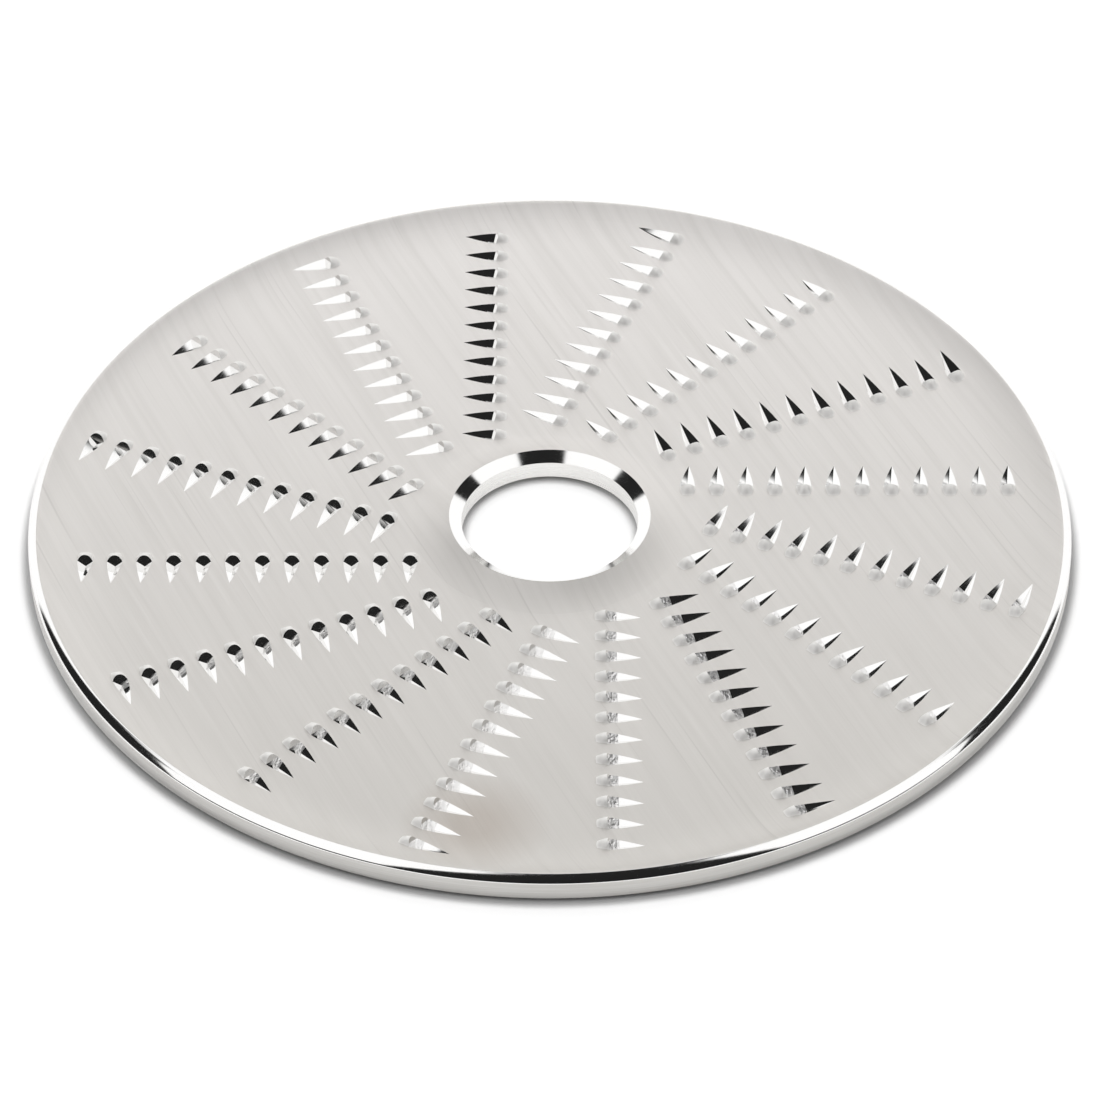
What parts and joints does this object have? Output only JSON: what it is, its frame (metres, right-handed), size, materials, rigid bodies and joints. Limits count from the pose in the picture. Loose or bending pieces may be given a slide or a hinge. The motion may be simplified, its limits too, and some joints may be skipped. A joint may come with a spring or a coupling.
{
  "type": "food processor grating disc",
  "caption": "Flat stainless steel grating disc with a dished face, radial rows of small punched teeth, a countersunk centre bore and a rounded rim turned down into a skirt.",
  "frame": {"origin": "on the bore's axis, in the plane of the skirt's lower edge, which the disc stands on", "axes": "+Z along the bore axis, out of the toothed face; +X along the middle of a row of teeth that starts nearest the hub"},
  "size_m": [0.185, 0.185, 0.0052],
  "materials": {
    "steel": "brushed face, polished rim and countersink, satin skirt"
  },
  "bodies": {
    "root": {"grating_disc": "steel"}
  },
  "joints": []
}
